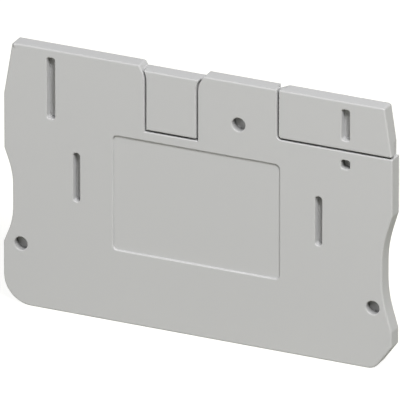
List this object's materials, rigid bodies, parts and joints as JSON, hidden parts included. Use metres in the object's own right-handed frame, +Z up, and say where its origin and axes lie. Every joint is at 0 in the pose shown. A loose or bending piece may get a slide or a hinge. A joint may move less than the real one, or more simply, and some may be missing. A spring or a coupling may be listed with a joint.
{
  "type": "terminal block end cover",
  "caption": "Thin moulded plate that closes the open end of a row of terminal blocks, with snap pegs and ribs on its mating side and a blank label recess outside.",
  "frame": {"origin": "centre of the mating face, halfway along the cover and halfway up", "axes": "+Y out of the mating face, into the row of blocks; +X along the cover, to the end with the end panel; +Z up, to the edge with the tabs"},
  "size_m": [0.0578, 0.0038, 0.0384],
  "materials": {
    "grey_polyamide": "fine matt moulded"
  },
  "bodies": {
    "root": {"end_cover": "grey_polyamide"}
  },
  "joints": []
}
